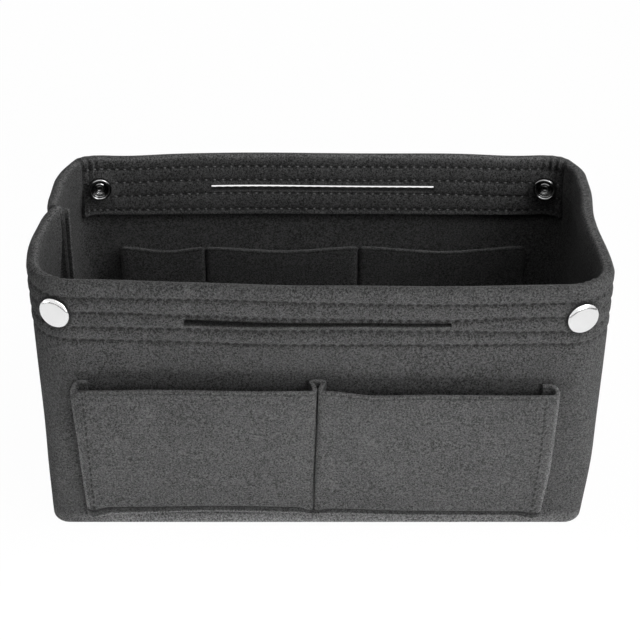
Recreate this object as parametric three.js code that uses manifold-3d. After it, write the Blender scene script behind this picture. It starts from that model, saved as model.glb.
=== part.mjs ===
import * as THREE from 'three';
import { mergeVertices } from 'three/addons/utils/BufferGeometryUtils.js';
import Module from 'manifold-3d';

const wasm = await Module();
wasm.setup();

// Felt purse organiser insert, millimetres, +Z up, front towards -Y, resting on z = 0.

// Body of the box, outside sizes
const bodyLength = 260;
const bodyDepth = 130;
const bodyHeight = 135;
const rimCornerRadius = 21;
const baseCornerRadius = 9;
const feltThickness = 3;
const seatGap = 0.3;

// Base felt, turned up all round and rounded underneath
const baseTurnUp = 7;
const baseEdgeRound = 4;

// Folded hem along the front and back, ending part of the way round each corner
const hemDepth = 33;
const hemThickness = 2 * feltThickness;
const hemEndTurn = 50;
const hemEndRun = 1.5;

// Rolled rim of the gussets, thinning downwards to a single layer
const rimRollDrop = 12;
const rimTaperDrop = 40;

// Hand slot through the front and back hems
const frontSlotLength = 119;
const frontSlotShift = -1;
const backSlotLength = 114.5;
const backSlotShift = 1.2;
const slotHeight = 4.6;
const slotEndRound = 0.9;
const slotDrop = 18.5;

// Fold of each gusset: a slanted crease from the bottom corner to the rim
const creaseTopHalf = 26.5;
const creaseSlope = 0.19;
const creaseBevel = 0.7;
const creaseGap = 1;
const creaseCutDepth = 10;
const gussetCentreGap = 0.35;
const cornerReliefSlope = 0.23;

// Seam allowance standing inwards at the middle of the left gusset
const seamFlangeDepth = 8;
const seamFlangeTopDrop = 4;

// Pocket strips: a felt panel sewn down at its seams and standing off between them
const pocketFelt = 2;
const pocketFoot = 2;
const pocketMouth = 6.5;
const pocketSeamHalf = 3;
const pocketPleatRun = 5;
const pocketBottomFold = 2.5;
const pocketBottom = 8;
const outerPocketTop = 83;
const innerPocketTop = 84;

// End seams are set in from the ends of the box, dividing seams are placed from its middle
const outerPocketInsets = [18.5, 22.5];
const outerPocketDividers = [-1];
const backInnerInsets = [27, 24];
const backInnerDividers = [-60, 20];
const frontInnerInsets = [26, 26];
const frontInnerDividers = [0];

// Press snaps on the round of each corner, turned away from the long walls by an angle
const snapTurn = 22;
const snapDrop = 16;
const capRadius = 7.5;
const capCrown = 1.7;
const capMidRadius = 3.4;
const capMidHeight = 1.58;
const capShoulderRadius = 6;
const capShoulderHeight = 1.26;
const capRimRadius = 7.2;
const capRimHeight = 0.7;
const capEdgeHeight = 0.28;
const capFootRadius = 7.28;
const postRadius = 2.2;
const postClearance = 0.3;
const postLength = 10;
const snapFlangeRadius = 6;
const studFlange = 1;
const studFlangeEdge = 0.6;
const studFlangeTopRadius = 5.5;
const studNeckRadius = 3.1;
const studNeckHeight = 1.65;
const studHeadRadius = 3.5;
const studHeadHeight = 2.25;
const studHeight = 3;
const socketFootRadius = 5.7;
const socketFootHeight = 0.6;
const socketShoulderHeight = 2.25;
const socketTopRadius = 5.4;
const socketHeight = 3;
const socketMouthRadius = 4.1;
const socketGrooveRadius = 4.9;
const socketFloor = 0.8;
const socketLip = 0.6;
const springWireRadius = 0.3;
const springRingRadius = 4.4;
const springSplitAngle = 0.6;

// Smoothness of round shapes
const cornerSteps = 8;
const hemArcSteps = 6;
const slotEndSteps = 3;
const snapSteps = 36;
const springSteps = 20;
const wireSides = 6;
const overrun = 1;
const rightAngle = 90;

const halfLength = bodyLength / 2;
const halfDepth = bodyDepth / 2;
const wallBottom = baseTurnUp + seatGap;
const snapHeight = bodyHeight - snapDrop;
const slotCentre = bodyHeight - slotDrop;

const feltColours = {
  outside: 0x505154,
  inside: 0x3a3b3e,
  pocket: 0x47484b,
};

function felt(colour) {
  return new THREE.MeshStandardMaterial({ color: colour, roughness: 0.95, metalness: 0 });
}

function silver() {
  return new THREE.MeshStandardMaterial({ color: 0xd9dadb, roughness: 0.22, metalness: 1 });
}

function darkNickel() {
  return new THREE.MeshStandardMaterial({ color: 0x6d6d70, roughness: 0.3, metalness: 1 });
}

// Welds a geometry into one closed skin, without slivers, facing outwards.
function weld(geometry) {
  const bare = geometry.clone();
  bare.deleteAttribute('normal');
  bare.deleteAttribute('uv');
  const merged = mergeVertices(bare, 1e-5);
  const corners = merged.index.array;
  const kept = [];
  for (let i = 0; i < corners.length; i += 3) {
    const [a, b, c] = [corners[i], corners[i + 1], corners[i + 2]];
    if (a !== b && b !== c && c !== a) kept.push(a, b, c);
  }
  merged.setIndex(kept);
  if (signedVolume(merged) < 0) {
    for (let i = 0; i < kept.length; i += 3) {
      [kept[i], kept[i + 1]] = [kept[i + 1], kept[i]];
    }
    merged.setIndex(kept);
  }
  return merged;
}

function signedVolume(geometry) {
  const place = geometry.attributes.position;
  const index = geometry.index.array;
  const [a, b, c] = [new THREE.Vector3(), new THREE.Vector3(), new THREE.Vector3()];
  let sum = 0;
  for (let i = 0; i < index.length; i += 3) {
    a.fromBufferAttribute(place, index[i]);
    b.fromBufferAttribute(place, index[i + 1]);
    c.fromBufferAttribute(place, index[i + 2]);
    sum += a.dot(b.cross(c)) / 6;
  }
  return sum;
}

function fromPoints(points, triangles) {
  const geometry = new THREE.BufferGeometry();
  geometry.setAttribute('position', new THREE.Float32BufferAttribute(points.flat(), 3));
  geometry.setIndex(triangles);
  return weld(geometry);
}

function toSolid(geometry) {
  const welded = weld(geometry);
  return new wasm.Manifold(new wasm.Mesh({
    numProp: 3,
    vertProperties: new Float32Array(welded.attributes.position.array),
    triVerts: new Uint32Array(welded.index.array),
  }));
}

function toGeometry(solid) {
  const mesh = solid.getMesh();
  const geometry = new THREE.BufferGeometry();
  geometry.setAttribute('position', new THREE.Float32BufferAttribute(mesh.vertProperties, 3));
  geometry.setIndex(Array.from(mesh.triVerts));
  return geometry;
}

function cut(geometry, cutters) {
  let solid = toSolid(geometry);
  for (const cutter of cutters) solid = solid.subtract(toSolid(cutter));
  return toGeometry(solid);
}

function join(first, second) {
  return toGeometry(toSolid(first).add(toSolid(second)));
}

// Runs closed profiles of [inset, z] points through stations. Each station places the points of
// its own profile, and all profiles have as many points.
function sweep(stations) {
  const points = [];
  for (const { profile, place } of stations) {
    for (const [inset, z] of profile) points.push(place(inset, z));
  }
  const count = stations[0].profile.length;
  const triangles = [];
  for (let i = 0; i + 1 < stations.length; i += 1) {
    for (let j = 0; j < count; j += 1) {
      const a = i * count + j;
      const b = i * count + ((j + 1) % count);
      triangles.push(a, b, b + count, a, b + count, a + count);
    }
  }
  const outline = stations[0].profile.map(([inset, z]) => new THREE.Vector2(inset, z));
  const last = (stations.length - 1) * count;
  for (const [a, b, c] of THREE.ShapeUtils.triangulateShape(outline, [])) {
    triangles.push(a, c, b, last + a, last + b, last + c);
  }
  return fixEnds(points, triangles, count, last);
}

// End faces are turned to agree with the sides before the skin is welded.
function fixEnds(points, triangles, count, last) {
  const sideEdges = new Set();
  const ends = [];
  const sides = [];
  for (let i = 0; i < triangles.length; i += 3) {
    const face = triangles.slice(i, i + 3);
    const isEnd = face.every((p) => p < count) || face.every((p) => p >= last);
    (isEnd ? ends : sides).push(face);
  }
  for (const [a, b, c] of sides) {
    sideEdges.add(`${a} ${b}`).add(`${b} ${c}`).add(`${c} ${a}`);
  }
  const clash = (face) => face.some((p, k) => sideEdges.has(`${p} ${face[(k + 1) % 3]}`));
  for (const half of [ends.filter((f) => f[0] < count), ends.filter((f) => f[0] >= last)]) {
    const turn = half.some(clash);
    for (const [a, b, c] of half) sides.push(turn ? [a, c, b] : [a, b, c]);
  }
  return fromPoints(points, sides.flat());
}

// A solid with six flat sides from a lower and an upper ring of four points.
function block(lower, upper) {
  const faces = [0, 2, 1, 0, 3, 2, 4, 5, 6, 4, 6, 7];
  for (let i = 0; i < 4; i += 1) {
    const next = (i + 1) % 4;
    faces.push(i, next, next + 4, i, next + 4, i + 4);
  }
  return fromPoints([...lower, ...upper], faces);
}

// Rounded outline of the base, drawn in by an inset.
function baseOutline(inset) {
  const radius = baseCornerRadius - inset;
  const centreX = halfLength - baseCornerRadius;
  const centreY = halfDepth - baseCornerRadius;
  const points = [];
  const corners = [[1, 1, 0], [-1, 1, 1], [-1, -1, 2], [1, -1, 3]];
  for (const [signX, signY, quarter] of corners) {
    for (let i = 0; i <= cornerSteps; i += 1) {
      const angle = (quarter + i / cornerSteps) * Math.PI / 2;
      points.push([signX * centreX + radius * Math.cos(angle), signY * centreY + radius * Math.sin(angle)]);
    }
  }
  return points;
}

// Stacks outlines [inset, z] into one skin, closed by flat faces at both ends.
function stack(levels) {
  const points = [];
  const triangles = [];
  let count = 0;
  levels.forEach(([inset, z], level) => {
    const ring = baseOutline(inset);
    count = ring.length;
    for (const [x, y] of ring) points.push([x, y, z]);
    if (level === 0) return;
    const from = (level - 1) * count;
    for (let i = 0; i < count; i += 1) {
      const next = (i + 1) % count;
      triangles.push(from + i, from + next, from + next + count);
      triangles.push(from + i, from + next + count, from + i + count);
    }
  });
  const top = (levels.length - 1) * count;
  for (let i = 1; i + 1 < count; i += 1) {
    triangles.push(0, i + 1, i);
    triangles.push(top, top + i, top + i + 1);
  }
  return fromPoints(points, triangles);
}

function basePanel() {
  const eased = baseEdgeRound * (1 - Math.SQRT1_2);
  return stack([
    [baseEdgeRound, 0],
    [eased, eased],
    [0, baseEdgeRound],
    [0, baseTurnUp],
    [feltThickness, baseTurnUp],
    [feltThickness, feltThickness],
  ]);
}

// Section of the felt: turned over on itself with a raw edge at the hem, or rolled at a gusset's rim.
function wallProfile(hemmed) {
  const foldRadius = hemThickness / 2;
  const profile = [[0, wallBottom]];
  for (let i = 0; i <= hemArcSteps; i += 1) {
    const angle = Math.PI * (1 - i / hemArcSteps);
    profile.push([
      foldRadius + foldRadius * Math.cos(angle),
      bodyHeight - foldRadius + foldRadius * Math.sin(angle),
    ]);
  }
  profile.push([hemThickness, bodyHeight - (hemmed ? hemDepth : rimRollDrop)]);
  profile.push([feltThickness, bodyHeight - (hemmed ? hemDepth : rimTaperDrop)]);
  profile.push([feltThickness, wallBottom]);
  return profile;
}

// Corners are tight at the base and open out evenly towards the rim.
function cornerRadiusAt(z) {
  const share = (z - wallBottom) / (bodyHeight - wallBottom);
  return baseCornerRadius + (rimCornerRadius - baseCornerRadius) * share;
}

// Point at a height on a corner's round, or outside it, turned away from the long wall by degrees.
function cornerSpot(signX, side, turn, lift, z) {
  const angle = THREE.MathUtils.degToRad(turn);
  const [outX, outY] = [signX * Math.sin(angle), side * Math.cos(angle)];
  const radius = cornerRadiusAt(z);
  return {
    x: signX * (halfLength - radius) + outX * (radius + lift),
    y: side * (halfDepth - radius) + outY * (radius + lift),
    outX,
    outY,
  };
}

// Stations round a corner, from the long wall to the gusset.
function cornerPath(signX, side) {
  const turns = [hemEndTurn, hemEndTurn + hemEndRun];
  for (let i = 0; i <= cornerSteps; i += 1) turns.push(rightAngle * i / cornerSteps);
  turns.sort((a, b) => a - b);
  return turns.map((turn) => ({
    profile: wallProfile(turn <= hemEndTurn),
    place: (inset, z) => {
      const { x, y } = cornerSpot(signX, side, turn, -inset, z);
      return [x, y, z];
    },
  }));
}

function gussetStation(signX, y) {
  return { profile: wallProfile(false), place: (inset, z) => [signX * (halfLength - inset), y, z] };
}

// Path of a long wall: middle of one gusset, round both corners, middle of the other.
function longWallPath(side) {
  return [
    gussetStation(-1, 0),
    ...cornerPath(-1, side).reverse(),
    ...cornerPath(1, side),
    gussetStation(1, 0),
  ];
}

// Half width of the folding middle of a gusset at a height and depth into the felt.
function creaseHalf(z, inset) {
  return creaseTopHalf + creaseSlope * (bodyHeight - z) + creaseBevel * inset;
}

// Cutter on one side of a gusset's slanted crease: towards the middle or the corner.
function creaseCutter(signX, signY, towardsMiddle) {
  const low = -overrun;
  const high = bodyHeight + overrun;
  const rest = towardsMiddle ? -overrun : halfDepth + overrun;
  const shift = towardsMiddle ? creaseGap / 2 : -creaseGap / 2;
  const ring = (inset) => {
    const x = signX * (halfLength - inset);
    return [
      [x, signY * rest, low],
      [x, signY * (creaseHalf(low, inset) + shift), low],
      [x, signY * (creaseHalf(high, inset) + shift), high],
      [x, signY * rest, high],
    ];
  };
  return block(ring(-overrun), ring(creaseCutDepth));
}

// Room for the lower corners of a wall to dip as it leans inwards.
function cornerRelief(side) {
  const hingeY = side * (halfDepth - feltThickness);
  const innerY = side * overrun;
  const rise = cornerReliefSlope * Math.abs(hingeY - innerY);
  const ring = (x) => [
    [x, hingeY, wallBottom - overrun],
    [x, hingeY, wallBottom],
    [x, innerY, wallBottom + rise],
    [x, innerY, wallBottom - overrun],
  ];
  return block(ring(-halfLength - overrun), ring(halfLength + overrun));
}

function slotCutter(side) {
  const [length, shift] = side < 0 ? [frontSlotLength, frontSlotShift] : [backSlotLength, backSlotShift];
  const wide = length / 2 - slotEndRound;
  const tall = slotHeight / 2 - slotEndRound;
  const shape = new THREE.Shape();
  [[wide, tall], [-wide, tall], [-wide, -tall], [wide, -tall]].forEach(([x, z], quarter) => {
    const start = quarter * Math.PI / 2;
    shape.absarc(x, z, slotEndRound, start, start + Math.PI / 2);
  });
  const depth = hemThickness + 2 * overrun;
  const settings = { depth, bevelEnabled: false, curveSegments: slotEndSteps };
  const geometry = new THREE.ExtrudeGeometry(shape, settings);
  geometry.rotateX(Math.PI / 2);
  const start = side > 0 ? halfDepth + overrun : -halfDepth + hemThickness + overrun;
  geometry.translate(shift, start, slotCentre);
  return geometry;
}

function postHole(signX, side) {
  const { x, y, outX, outY } = cornerSpot(signX, side, snapTurn, -hemThickness / 2, snapHeight);
  const geometry = new THREE.CylinderGeometry(
    postRadius + postClearance,
    postRadius + postClearance,
    hemThickness + 2 * overrun,
    snapSteps / 2,
  );
  return geometry.rotateZ(Math.atan2(-outX, outY)).translate(x, y, snapHeight);
}

function longWall(side) {
  return cut(sweep(longWallPath(side)), [
    creaseCutter(-1, side, true),
    creaseCutter(1, side, true),
    cornerRelief(side),
    slotCutter(side),
    postHole(-1, side),
    postHole(1, side),
  ]);
}

function gussetHalf(signX, side) {
  const start = cornerPath(signX, side).at(-1);
  const panel = sweep([start, gussetStation(signX, side * gussetCentreGap)]);
  return cut(panel, [creaseCutter(signX, side, false)]);
}

// The two ends of the felt strip are sewn together here, with the allowance turned inwards.
function seamedGussetHalf(signX, side) {
  const panel = gussetHalf(signX, side);
  const high = bodyHeight - seamFlangeTopDrop;
  const ring = (inset) => {
    const x = signX * (halfLength - inset);
    const nearY = side * gussetCentreGap;
    const farY = side * (gussetCentreGap + feltThickness);
    return [[x, nearY, wallBottom], [x, farY, wallBottom], [x, farY, high], [x, nearY, high]];
  };
  const flange = block(ring(feltThickness / 2), ring(feltThickness + seamFlangeDepth));
  return join(panel, flange);
}

// Plan of a pocket strip: sewn flat at each seam, bowed out over a pleat between seams.
function pocketLine(seams, rise) {
  const line = [];
  seams.forEach((seam, i) => {
    const start = i === 0 ? seam : seam - pocketSeamHalf;
    const end = i === seams.length - 1 ? seam : seam + pocketSeamHalf;
    if (i > 0) line.push([start - pocketPleatRun, rise]);
    line.push([start, 0], [end, 0]);
    if (i < seams.length - 1) line.push([end + pocketPleatRun, rise]);
  });
  return line;
}

// Joins a lower and an upper plan with as many points each into one upright skin.
function upright(lower, upper, low, high) {
  const count = lower.length;
  const points = [...lower.map(([x, y]) => [x, y, low]), ...upper.map(([x, y]) => [x, y, high])];
  const triangles = [];
  for (let i = 0; i < count; i += 1) {
    const next = (i + 1) % count;
    triangles.push(i, next, next + count, i, next + count, i + count);
  }
  const outline = lower.map(([x, y]) => new THREE.Vector2(x, y));
  for (const [a, b, c] of THREE.ShapeUtils.triangulateShape(outline, [])) {
    triangles.push(a, c, b, count + a, count + b, count + c);
  }
  return fixEnds(points, triangles, count, count);
}

// A strip closed along its foot, which ends within the felt of the panel.
function pocketStrip(seams, top, wallY, outward) {
  const place = ([x, off]) => [x, wallY + outward * (seatGap + off)];
  const plan = (rise, closed) => {
    const near = pocketLine(seams, rise);
    const reach = closed ? pocketFelt / 2 : pocketFelt;
    const far = near.map(([x, off]) => [x, off + reach]).reverse();
    const back = closed ? near.map(([x]) => [x, 0]) : near;
    return [...back, ...far].map(place);
  };
  const slope = (pocketMouth - pocketFoot) / (top - pocketBottom);
  const footTop = pocketBottom + pocketBottomFold;
  const footRise = pocketFoot + slope * pocketBottomFold;
  const panel = upright(plan(pocketFoot, false), plan(pocketMouth, false), pocketBottom, top);
  const foot = upright(plan(pocketFoot, true), plan(footRise, true), pocketBottom, footTop);
  return join(panel, foot);
}

// Round pieces are turned about Z, with z = 0 on the felt, and laid over afterwards.
function turned(points) {
  const outline = points.map(([r, z]) => new THREE.Vector2(r, z));
  return weld(new THREE.LatheGeometry(outline, snapSteps).rotateX(Math.PI / 2));
}

function capWithPost() {
  return turned([
    [0, capCrown],
    [capMidRadius, capMidHeight],
    [capShoulderRadius, capShoulderHeight],
    [capRimRadius, capRimHeight],
    [capRadius, capEdgeHeight],
    [capFootRadius, 0],
    [postRadius, 0],
    [postRadius, -postLength],
    [0, -postLength],
  ]);
}

function stud() {
  const bore = postRadius + postClearance;
  return turned([
    [bore, 0],
    [snapFlangeRadius, 0],
    [snapFlangeRadius, studFlangeEdge],
    [studFlangeTopRadius, studFlange],
    [studNeckRadius, studFlange],
    [studNeckRadius, studNeckHeight],
    [studHeadRadius, studHeadHeight],
    [studNeckRadius, studHeight],
    [bore, studHeight],
    [bore, 0],
  ]);
}

function socket() {
  const bore = postRadius + postClearance;
  const lipStart = socketHeight - socketLip;
  return turned([
    [bore, 0],
    [socketFootRadius, 0],
    [snapFlangeRadius, socketFootHeight],
    [snapFlangeRadius, socketShoulderHeight],
    [socketTopRadius, socketHeight],
    [socketMouthRadius, socketHeight],
    [socketMouthRadius, lipStart],
    [socketGrooveRadius, lipStart],
    [socketGrooveRadius, socketFloor],
    [bore, socketFloor],
    [bore, 0],
  ]);
}

// Split wire ring that lies in the socket's groove and grips the stud.
function springRing() {
  const height = (socketFloor + socketHeight - socketLip) / 2;
  const profile = [];
  for (let i = 0; i < wireSides; i += 1) {
    const angle = 2 * Math.PI * i / wireSides;
    profile.push([springWireRadius * Math.cos(angle), height + springWireRadius * Math.sin(angle)]);
  }
  const stations = [];
  for (let i = 0; i <= springSteps; i += 1) {
    const sweepAngle = 2 * Math.PI - springSplitAngle;
    const angle = springSplitAngle / 2 + sweepAngle * i / springSteps;
    const [outX, outY] = [Math.cos(angle), Math.sin(angle)];
    const place = (inset, z) => [(springRingRadius - inset) * outX, (springRingRadius - inset) * outY, z];
    stations.push({ profile, place });
  }
  return sweep(stations);
}

const part = new THREE.Group();
part.name = 'purse_organizer_insert';

function addPiece(name, geometry, material) {
  const mesh = new THREE.Mesh(geometry, material);
  mesh.name = name;
  part.add(mesh);
  return mesh;
}

// Lays a turned piece on the round of a corner so that its +Z looks outwards (1) or inwards (-1).
function layOnCorner(mesh, signX, side, lift, facing) {
  const { x, y, outX, outY } = cornerSpot(signX, side, snapTurn, lift, snapHeight);
  const look = new THREE.Vector3(facing * outX, facing * outY, 0);
  mesh.quaternion.setFromUnitVectors(new THREE.Vector3(0, 0, 1), look);
  mesh.position.set(x, y, snapHeight);
}

// A flat flange bridges the hollow inner round of the corner and touches it at its sides.
function innerSnapLift() {
  const innerRadius = cornerRadiusAt(snapHeight) - hemThickness;
  const hollow = innerRadius - Math.sqrt(innerRadius ** 2 - snapFlangeRadius ** 2);
  return -hemThickness - hollow - seatGap;
}

function seamLine([left, right], dividers) {
  return [-halfLength + left, ...dividers, halfLength - right];
}

addPiece('base_panel', basePanel(), felt(feltColours.inside));

for (const [wallName, side] of [['front', -1], ['back', 1]]) {
  const faceY = side * halfDepth;
  const inY = -side;
  addPiece(`${wallName}_panel`, longWall(side), felt(feltColours.outside));
  addPiece(`left_gusset_${wallName}`, seamedGussetHalf(-1, side), felt(feltColours.outside));
  addPiece(`right_gusset_${wallName}`, gussetHalf(1, side), felt(feltColours.outside));
  addPiece(
    `${wallName}_outer_pocket`,
    pocketStrip(seamLine(outerPocketInsets, outerPocketDividers), outerPocketTop, faceY, side),
    felt(feltColours.pocket),
  );
  const innerSeams = side < 0
    ? seamLine(frontInnerInsets, frontInnerDividers)
    : seamLine(backInnerInsets, backInnerDividers);
  addPiece(
    `${wallName}_inner_pocket`,
    pocketStrip(innerSeams, innerPocketTop, faceY + inY * feltThickness, inY),
    felt(feltColours.inside),
  );
  for (const [endName, signX] of [['left', -1], ['right', 1]]) {
    const cap = addPiece(`${wallName}_${endName}_snap_cap`, capWithPost(), silver());
    layOnCorner(cap, signX, side, seatGap, 1);
    const inside = side < 0
      ? { snap_stud: stud() }
      : { snap_socket: socket(), snap_spring: springRing() };
    for (const [pieceName, geometry] of Object.entries(inside)) {
      const piece = addPiece(`${wallName}_${endName}_${pieceName}`, geometry, darkNickel());
      layOnCorner(piece, signX, side, innerSnapLift(), -1);
    }
  }
}

export default part;
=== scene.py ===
import math
import random

import bmesh
import bpy
from mathutils import Matrix, Vector, noise


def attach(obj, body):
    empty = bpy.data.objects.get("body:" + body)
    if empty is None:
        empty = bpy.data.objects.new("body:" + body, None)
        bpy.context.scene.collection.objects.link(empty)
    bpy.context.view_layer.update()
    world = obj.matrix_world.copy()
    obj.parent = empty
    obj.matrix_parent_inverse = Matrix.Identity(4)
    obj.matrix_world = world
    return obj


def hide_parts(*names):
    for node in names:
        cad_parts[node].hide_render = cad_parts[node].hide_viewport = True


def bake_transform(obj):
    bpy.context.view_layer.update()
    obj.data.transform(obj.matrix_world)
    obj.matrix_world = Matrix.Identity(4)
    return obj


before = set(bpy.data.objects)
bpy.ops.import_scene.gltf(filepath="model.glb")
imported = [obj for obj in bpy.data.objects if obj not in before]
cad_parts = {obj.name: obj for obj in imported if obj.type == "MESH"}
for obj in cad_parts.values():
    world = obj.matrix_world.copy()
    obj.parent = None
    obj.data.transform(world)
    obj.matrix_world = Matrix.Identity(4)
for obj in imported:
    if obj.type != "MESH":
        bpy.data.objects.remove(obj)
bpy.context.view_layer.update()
mm = 0.001

# Sizes of the felt box in millimetres, as in the solids but for baseRound and one end of the hem
box = {
    "halfLength": 130.0,
    "halfDepth": 65.0,
    "height": 135.0,
    "rimCorner": 21.0,
    "baseCorner": 9.0,
    "felt": 3.0,
    "baseTop": 7.0,
    "baseRound": 2.7,
    "hemDepth": 33.0,
    # where the inside hem stops, in degrees round the corner, by end and side
    "hemEndTurns": {(-1, -1): 50.0, (1, -1): 50.0, (-1, 1): 45.0, (1, 1): 50.0},
    "rollDrop": 12.0,  # rolled rim of the gussets
    "taperDrop": 40.0,
    "frontRows": (8.0, 15.3, 22.9, 29.6),  # sewn rows, measured down from the rim
    "rowRise": (1.2, 0.6, 0.0, 0.0),  # the front rows climb left of the middle
    "riseMiddle": -30.0,
    "riseWidth": 50.0,
    "backRows": (6.1, 13.7, 21.6, 30.1),
    "rowBlend": (-50.0, 50.0),  # along the gussets the front rows pass into the back rows
    "slotEnds": {-1: (-60.5, 58.5), 1: (-56.0, 58.5)},  # front, back
    "slotHeight": 4.6,
    "slotDrop": 18.5,
    "snapTurns": {(-1, -1): 22.0, (1, -1): 18.0, (-1, 1): 12.0, (1, 1): 17.0},  # degrees, by end and side
    "snapDrop": 16.0,
    "halfGap": 0.02,  # from the middle line to each half of a gusset, so that their ends aren't in one plane
}
hemThick = 2 * box["felt"]
hemLow = box["height"] - box["hemDepth"]
snapHeight = box["height"] - box["snapDrop"]
slotLevels = [box["height"] - box["slotDrop"] + sign * box["slotHeight"] / 2 for sign in (-1, 1)]
wallSides = (("front", -1), ("back", 1))
boxEnds = (("left", -1), ("right", 1))


def step(low, high, value):
    t = min(max((value - low) / (high - low), 0.0), 1.0)
    return t * t * (3 - 2 * t)


def swing(value):
    return math.sin(math.pi / 2 * min(max(value, 0.0), 1.0))


def bell(value, width):
    return math.exp(-((value / width) ** 2))


def alongTable(table, x):
    for (a, low), (b, high) in zip(table, table[1:]):
        if x <= b:
            return low + (high - low) * step(a, b, x)
    return table[-1][1]


def cornerRound(z):
    share = max(z - box["baseTop"], 0.0) / (box["height"] - box["baseTop"])
    return box["baseCorner"] + (box["rimCorner"] - box["baseCorner"]) * share


slotReach = box["halfLength"] - cornerRound(slotLevels[0])  # half the flat run of a wall, at the slit
slotShares = {side: [x / slotReach for x in ends] for side, ends in box["slotEnds"].items()}


def rowHeights(x, y):
    share = step(*box["rowBlend"], y)
    climb = bell(x - box["riseMiddle"], box["riseWidth"]) * (1 - share)
    heights = []
    for front, back, rise in zip(box["frontRows"], box["backRows"], box["rowRise"]):
        heights.append(box["height"] - front - (back - front) * share + rise * climb)
    return heights


# How far the soft felt strays from the straight box, in millimetres
slack = {
    "wave": 0.5,
    "waveSeed": 11,
    "waveSize": 46.0,
    "waveShift": 3.1,
    "waveHeights": (6.0, 40.0),  # heights over which a move grows from nothing to all of it
    "liftHeights": (20.0, 132.0),
    "rimHeights": (95.0, 116.0),
    "endRange": (80.0, 122.0),  # the same, outwards from the middle
    "wallRange": (25.0, 60.0),
    "seamShift": 6.5,  # the left seam has slid back at the rim
    "seamPull": 2.6,
    "seamRise": 1.9,
    "leftFrontBulge": 3.7,
    "leftBackBulge": 1.1,
    "leftBackTuck": 1.7,
    "rightFrontBulge": 1.9,
    "rightBackBulge": 2.3,
    "frontLeftLean": 4.2,
    "frontMiddleBow": 0.9,
    "frontSag": 0.9,
    "rightFootTuck": 3.6,  # front right corner of the base, drawn in
    "rightFootReach": 1.0,
    "backBow": 1.0,  # the back rim rises in the middle and drops to its ends
    "backDrop": 1.1,
    "backSquare": 2.0,  # the back corners of the mouth stand out squarer
}


# pulls, bulges and tucks of the ends, by place and width along y
def gussetBulge(x, y):
    if x < 0:
        away = y - slack["seamShift"]
        pull = slack["seamPull"] * bell(away, 5.5 if away < 0 else 3.0)
        front = -slack["leftFrontBulge"] * bell(y + 25.0, 24.0) * (1 - step(40.0, 62.0, -y))
        back = -slack["leftBackBulge"] * step(0.0, 14.0, away) * (1 - step(36.0, 54.0, y))
        return pull + front + back + slack["leftBackTuck"] * step(34.0, 56.0, y)
    if y < 0:
        return slack["rightFrontBulge"] * step(5.0, 40.0, -y) * (1 - step(46.0, 64.0, -y))
    return slack["rightBackBulge"] * step(0.0, 30.0, y) * (1 - step(42.0, 62.0, y))


# Snap seats: the felt is drawn flat and a little inwards between a cap and the piece behind it
seat = {"dent": 0.8, "inner": 7.6, "holdStart": 6.9, "holdEnd": 10.6, "fromX": 88.0, "fromY": 38.0}


def cornerMiddle(signX, side, radius):
    return signX * (box["halfLength"] - radius), side * (box["halfDepth"] - radius)


def snapSpot(signX, side):
    # middle of the corner's round, the way out through the snap, and the radius there
    turn = math.radians(box["snapTurns"][signX, side])
    radius = cornerRound(snapHeight)
    return cornerMiddle(signX, side, radius), (signX * math.sin(turn), side * math.cos(turn)), radius


def flattenAtSnap(x, y, z):
    rise = z - snapHeight
    if abs(x) < seat["fromX"] or abs(y) < seat["fromY"] or abs(rise) > seat["holdEnd"]:
        return x, y
    signX, side = math.copysign(1, x), math.copysign(1, y)
    radius = cornerRound(z)
    midX, midY = cornerMiddle(signX, side, radius)
    depth = radius - math.hypot(x - midX, y - midY)
    (midX, midY), (outX, outY), radius = snapSpot(signX, side)
    relX, relY = x - midX, y - midY
    out, along = relX * outX + relY * outY, relX * outY - relY * outX
    hold = 1 - step(seat["holdStart"], seat["holdEnd"], math.hypot(along, rise))
    target = radius - seat["dent"] if depth < box["felt"] else radius - seat["inner"]
    return x + outX * (target - out) * hold, y + outY * (target - out) * hold


noise.seed_set(slack["waveSeed"])  # the same waves on every run


def soften(x, y, z):
    x, y = flattenAtSnap(x, y, z)
    size = slack["waveSize"]
    spot = Vector((x / size, y / size + slack["waveShift"], z / size))
    wave = noise.noise_vector(spot) * slack["wave"] * step(*slack["waveHeights"], z)
    lift, rim = step(*slack["liftHeights"], z), step(*slack["rimHeights"], z)
    end, inWall = step(*slack["endRange"], abs(x)), step(*slack["wallRange"], abs(y))
    moveX = moveY = moveZ = 0.0
    if x < 0:
        moveY += slack["seamShift"] * bell(y, 26.0) * end
        moveZ += slack["seamRise"] * bell(y, 8.0 if y < 0 else 2.5) * end * step(95.0, 132.0, z)
    if y < 0:
        lean = slack["frontLeftLean"] * step(8.0, 112.0, -x) - slack["frontMiddleBow"] * bell(x, 60.0)
        moveY += lean * step(20.0, 58.0, -y)
        moveZ -= slack["frontSag"] * bell(x - 55.0, 42.0) * inWall * rim
        foot = step(70.0, 126.0, x) * step(10.0, 55.0, -y)
        moveX -= slack["rightFootTuck"] * foot * (1 - step(-12.0, 44.0, z))
        moveY -= slack["rightFootReach"] * foot * (1 - step(4.0, 26.0, z)) / max(lift, 0.02)
    else:
        rise = slack["backBow"] * bell(x + 15.0, 85.0) - slack["backDrop"] * bell(abs(x) - 99.0, 20.0)
        moveZ += rise * inWall * rim
        square = slack["backSquare"] * bell(abs(x) - 121.0, 7.0) * step(46.0, 60.0, y)
        moveX += math.copysign(square, x) * lift
        moveY += 0.5 * square
    moveX += gussetBulge(x, y + moveY) * end * lift
    return x + wave.x + moveX, y + wave.y + moveY * lift, z + wave.z * 0.5 + moveZ


def place(x, y, z):
    x, y, z = soften(x, y, z)
    return Vector((x * mm, y * mm, z * mm))


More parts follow.
